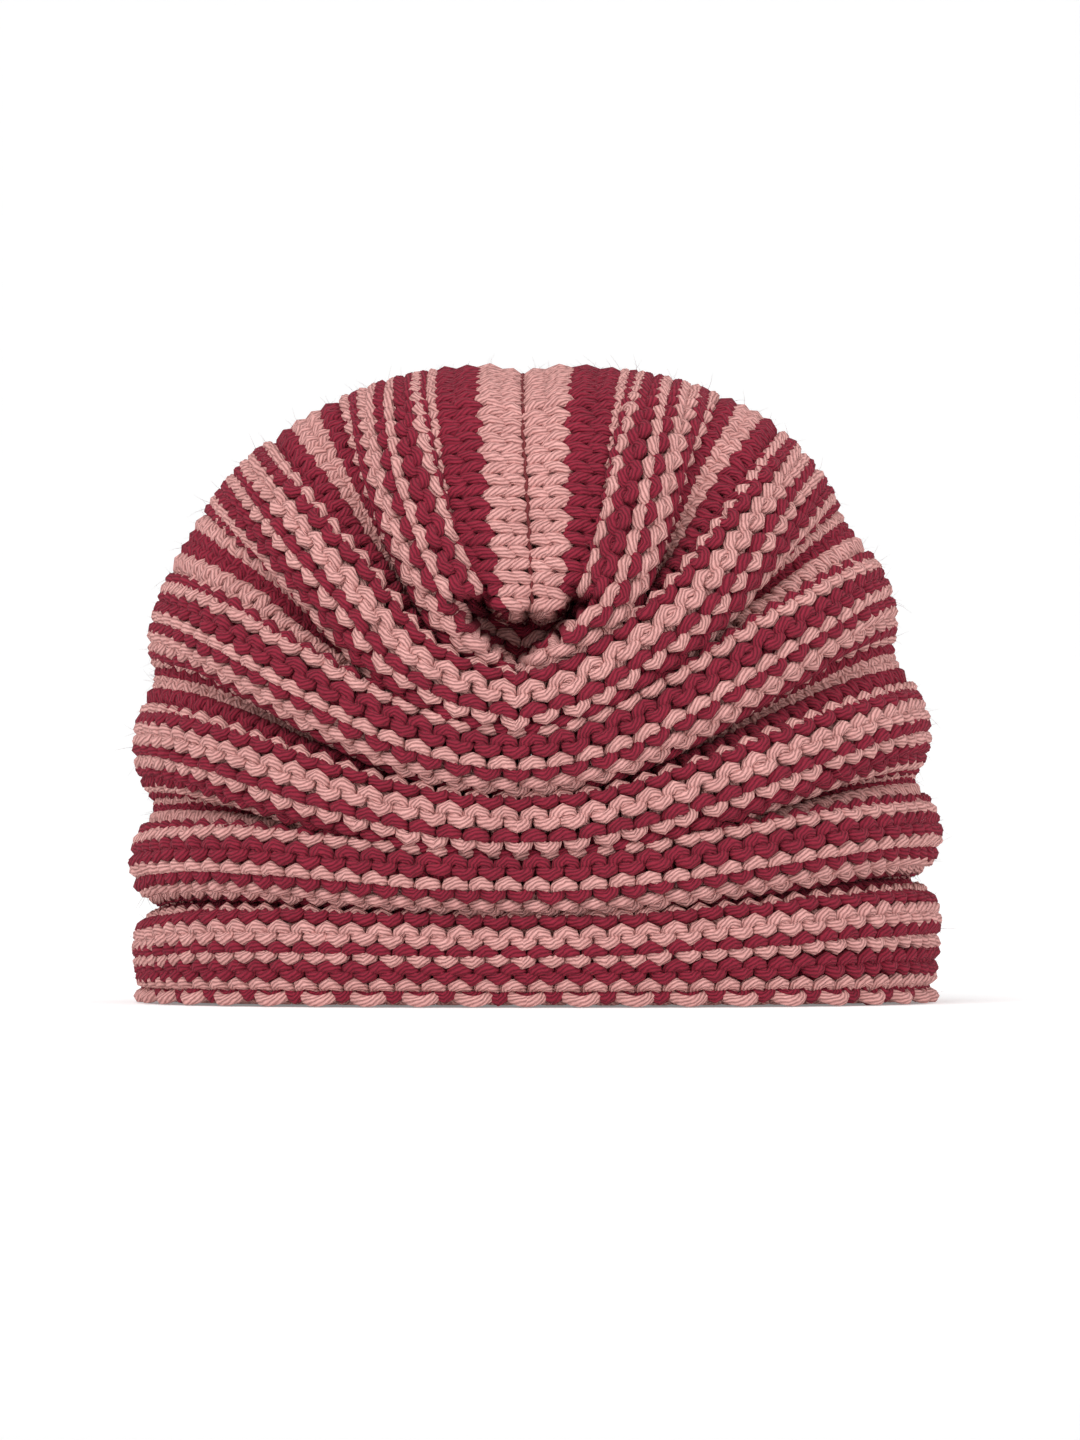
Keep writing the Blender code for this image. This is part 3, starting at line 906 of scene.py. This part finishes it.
class BeanieYarn(bpy.types.PropertyGroup):
    """Sizes of the yarn and its loops."""

    radius: FloatProperty(
        name="Yarn radius", description="Half the thickness of the yarn",
        default=0.00158, min=0.0005, max=0.003, unit="LENGTH")
    lift: FloatProperty(
        name="Loop lift", description="How far a loop stands off the middle of the wall",
        default=0.0015, min=0.0, max=0.004, unit="LENGTH")
    ply_spacing: FloatProperty(
        name="Ply spacing", description="Distance between strands along the yarn",
        default=0.0018, min=0.0005, max=0.02, unit="LENGTH")
    ply_depth: FloatProperty(
        name="Ply depth", description="Depth of the grooves between strands",
        default=0.00038, min=0.0, max=0.002, unit="LENGTH")
    fluff_depth: FloatProperty(
        name="Fluff depth", description="Depth of the fine uneven fibres",
        default=0.00025, min=0.0, max=0.002, unit="LENGTH")
    unevenness: FloatProperty(
        name="Unevenness", description="How uneven the hand knitting is",
        default=0.5, min=0.0, max=2.0, subtype="FACTOR")
    fibres: IntProperty(
        name="Fibres", description="How many loose fibres each colour has",
        default=2600, min=1, max=20000)
    seed: IntProperty(
        name="Seed", description="Picks another unevenness", default=7, min=0)


class BeanieColours(bpy.types.PropertyGroup):
    """Colours of the wools."""

    burgundy: FloatVectorProperty(
        name="Burgundy", description="Colour of the dark wool", subtype="COLOR",
        size=3, default=(0.260, 0.0195, 0.040), min=0.0, max=1.0)
    pink: FloatVectorProperty(
        name="Pink", description="Colour of the pale wool", subtype="COLOR",
        size=3, default=(0.700, 0.355, 0.330), min=0.0, max=1.0)
    sewing: FloatVectorProperty(
        name="Sewing yarn", description="Colour of the yarn in the crown seam", subtype="COLOR",
        size=3, default=(0.275, 0.050, 0.055), min=0.0, max=1.0)


class BeanieStage(bpy.types.PropertyGroup):
    """Camera, floor and light."""

    distance: FloatProperty(
        name="Camera distance", description="From the camera to the middle of the hat",
        default=5.0, min=0.3, max=10.0, unit="LENGTH")
    elevation: FloatProperty(
        name="Camera height angle", description="How far the camera looks down",
        default=math.radians(0.3), min=0.0, max=1.5, subtype="ANGLE")
    floor: FloatVectorProperty(
        name="Floor colour", description="Colour of the floor and backdrop", subtype="COLOR",
        size=3, default=(0.86, 0.86, 0.86), min=0.0, max=1.0)
    glow: FloatProperty(
        name="Backdrop glow", description="Light that the white paper gives off by itself",
        default=0.22, min=0.0, max=2.0)
    sky: FloatProperty(
        name="Surrounding light", description="Strength of the even white light",
        default=0.86, min=0.0, max=10.0)
    key: FloatProperty(
        name="Key light", description="Power of the large soft light", default=16.0,
        min=0.0, max=1000.0, unit="POWER")


class BEANIE_OT_knit(bpy.types.Operator):
    """Knit the welts, one piece for each welt and colour."""

    bl_idname = "beanie.knit"
    bl_label = "Knit the welts"

    def execute(self, context):
        radius = context.scene.beanie_yarn.radius
        _, paths, _ = knitted_rows(context.scene)
        for welt in range(LAST_ROW // WELT_ROWS):
            rows = range(welt * WELT_ROWS + 1, (welt + 1) * WELT_ROWS + 1)
            for colour, pink in WOOLS_BY_PINK:
                chosen = [paths[row] for row in rows if row_is_pink(row) == pink]
                piece = spin_yarn(f"welt_{welt + 1}_{colour}", chosen, True, radius, colour)
                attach(piece, "root")
                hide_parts("knitted_body")
        return {"FINISHED"}


class BEANIE_OT_fluff(bpy.types.Operator):
    """Let loose fibres stand off the yarn, one piece for each colour."""

    bl_idname = "beanie.fluff"
    bl_label = "Fluff the yarn"

    def execute(self, context):
        count = context.scene.beanie_yarn.fibres
        cloth, paths, rng = knitted_rows(context.scene)
        taper = (np.linspace(0, 1, FIBRE_POINTS), FIBRE_TAPER)
        for colour, pink in WOOLS_BY_PINK:
            chosen = [path for row, path in paths.items() if row_is_pink(row) == pink]
            fibres = fibre_paths(cloth, chosen, count, rng)
            piece = spin_yarn(
                f"fibres_{colour}", fibres, False, FIBRE_RADIUS, colour, FIBRE_SIDES, taper)
            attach(piece, "root")
            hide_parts("knitted_body")
        return {"FINISHED"}


class BEANIE_OT_cast_on(bpy.types.Operator):
    """Make the cast-on edge round the brim."""

    bl_idname = "beanie.cast_on"
    bl_label = "Make the cast-on edge"

    def execute(self, context):
        yarn = context.scene.beanie_yarn
        cloth = cloth_of(context.scene.beanie_shape, yarn)
        paths = [cast_on_path(cloth), cast_on_heads(cloth, yarn)]
        radius = yarn.radius * EDGE_YARN_SHARE
        piece = spin_yarn("cast_on_chain", paths, True, radius, "pink")
        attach(piece, "root")
        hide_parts("cast_on_edge")
        return {"FINISHED"}


class BEANIE_OT_sew(bpy.types.Operator):
    """Sew both sides of the crown together."""

    bl_idname = "beanie.sew"
    bl_label = "Sew the crown"

    def execute(self, context):
        yarn = context.scene.beanie_yarn
        cloth = cloth_of(context.scene.beanie_shape, yarn)
        radius = yarn.radius * SEAM_YARN_SHARE
        paths = [seam_path(cloth, radius)]
        piece = spin_yarn("crown_stitching", paths, False, radius, "sewing")
        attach(piece, "root")
        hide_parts("crown_seam")
        return {"FINISHED"}


def sweep_mesh(name):
    """A floor that sweeps up into a wall behind the hat."""
    profile = [(SWEEP_FRONT, 0.0)]
    for turn in np.linspace(0.0, math.pi / 2, SWEEP_STEPS):
        beyond = SWEEP_BEND_START + SWEEP_BEND * math.sin(turn)
        profile.append((beyond, SWEEP_BEND - SWEEP_BEND * math.cos(turn)))
    profile.append((SWEEP_BEND_START + SWEEP_BEND, SWEEP_TOP))
    points = [(x, y, z) for y, z in profile for x in (-SWEEP_HALF_WIDTH, SWEEP_HALF_WIDTH)]
    faces = [(2 * k, 2 * k + 1, 2 * k + 3, 2 * k + 2) for k in range(len(profile) - 1)]
    mesh = bpy.data.meshes.new(name)
    mesh.from_pydata(points, [], faces)
    mesh.shade_smooth()
    return mesh


class BEANIE_OT_stage(bpy.types.Operator):
    """Set up the floor, the soft light and the camera."""

    bl_idname = "beanie.stage"
    bl_label = "Set the stage"

    def execute(self, context):
        scene = context.scene
        stage = scene.beanie_stage
        self.floor(scene, stage)
        self.light(scene, stage)
        self.camera(scene, stage)
        return {"FINISHED"}

    def floor(self, scene, stage):
        """The pale floor and backdrop in one sheet."""
        material, maker, shader = fresh_material("pale_paper")
        paper = {
            "Base Color": (*stage.floor, 1.0), "Roughness": PAPER_ROUGHNESS,
            "Emission Color": WHITE, "Emission Strength": stage.glow}
        for label, value in paper.items():
            maker.feed(shader.inputs[label], value)
        mesh = sweep_mesh("paper_sweep")
        mesh.materials.append(material)
        sweep = bpy.data.objects.new("paper_sweep", mesh)
        scene.collection.objects.link(sweep)

    def light(self, scene, stage):
        """Even white surroundings, a large soft light up to the left and a weaker one."""
        world = bpy.data.worlds.new("studio")
        world.use_nodes = True
        back = world.node_tree.nodes["Background"]
        back.inputs["Color"].default_value = WHITE
        back.inputs["Strength"].default_value = stage.sky
        scene.world = world
        scene.view_settings.view_transform = "Standard"
        for name, place, size, share in LAMPS:
            lamp = bpy.data.lights.new(name, "AREA")
            lamp.size = size
            lamp.energy = stage.key * share
            holder = bpy.data.objects.new(name, lamp)
            holder.location = place
            aim = Vector(LAMP_AIM) - holder.location
            holder.rotation_euler = aim.to_track_quat("-Z", "Y").to_euler()
            scene.collection.objects.link(holder)

    def camera(self, scene, stage):
        """A long lens at the photograph's angle and framing."""
        lens = bpy.data.cameras.new("camera")
        lens.sensor_width = SENSOR
        half_height = PHOTO_HEIGHT / 2 * PIXEL
        lens.lens = SENSOR / 2 * stage.distance / half_height
        lens.clip_end = CLIP_END
        holder = bpy.data.objects.new("camera", lens)
        back = Vector((0.0, -math.cos(stage.elevation), math.sin(stage.elevation)))
        holder.location = Vector((AIM_X, 0.0, AIM_Z)) + back * stage.distance
        holder.rotation_euler = (-back).to_track_quat("-Z", "Y").to_euler()
        scene.collection.objects.link(holder)
        scene.camera = holder


class BEANIE_PT_panel(bpy.types.Panel):
    """Sizes, colours and steps of the beanie."""

    bl_idname = "BEANIE_PT_panel"
    bl_label = "Knitted beanie"
    bl_space_type = "VIEW_3D"
    bl_region_type = "UI"
    bl_category = "Beanie"

    def draw(self, context):
        scene = context.scene
        for label in GROUPS:
            group = getattr(scene, label)
            box = self.layout.box()
            for name in group.__annotations__:
                box.prop(group, name)
        for step in STEPS:
            self.layout.operator(step.bl_idname)


GROUPS = {
    "beanie_shape": BeanieShape,
    "beanie_yarn": BeanieYarn,
    "beanie_colours": BeanieColours,
    "beanie_stage": BeanieStage,
}
STEPS = (BEANIE_OT_knit, BEANIE_OT_fluff, BEANIE_OT_cast_on, BEANIE_OT_sew, BEANIE_OT_stage)
CLASSES = (*GROUPS.values(), *STEPS, BEANIE_PT_panel)


def register():
    """Register the classes and hang the settings on the scene."""
    for kind in CLASSES:
        bpy.utils.register_class(kind)
    for label, group in GROUPS.items():
        setattr(bpy.types.Scene, label, PointerProperty(type=group))


def unregister():
    """Take the settings and classes away again."""
    for label in GROUPS:
        delattr(bpy.types.Scene, label)
    for kind in reversed(CLASSES):
        bpy.utils.unregister_class(kind)


def main():
    """Build the whole scene."""
    register()
    bpy.ops.beanie.knit()
    bpy.ops.beanie.fluff()
    bpy.ops.beanie.cast_on()
    bpy.ops.beanie.sew()
    bpy.ops.beanie.stage()


if __name__ == "__main__":
    main()
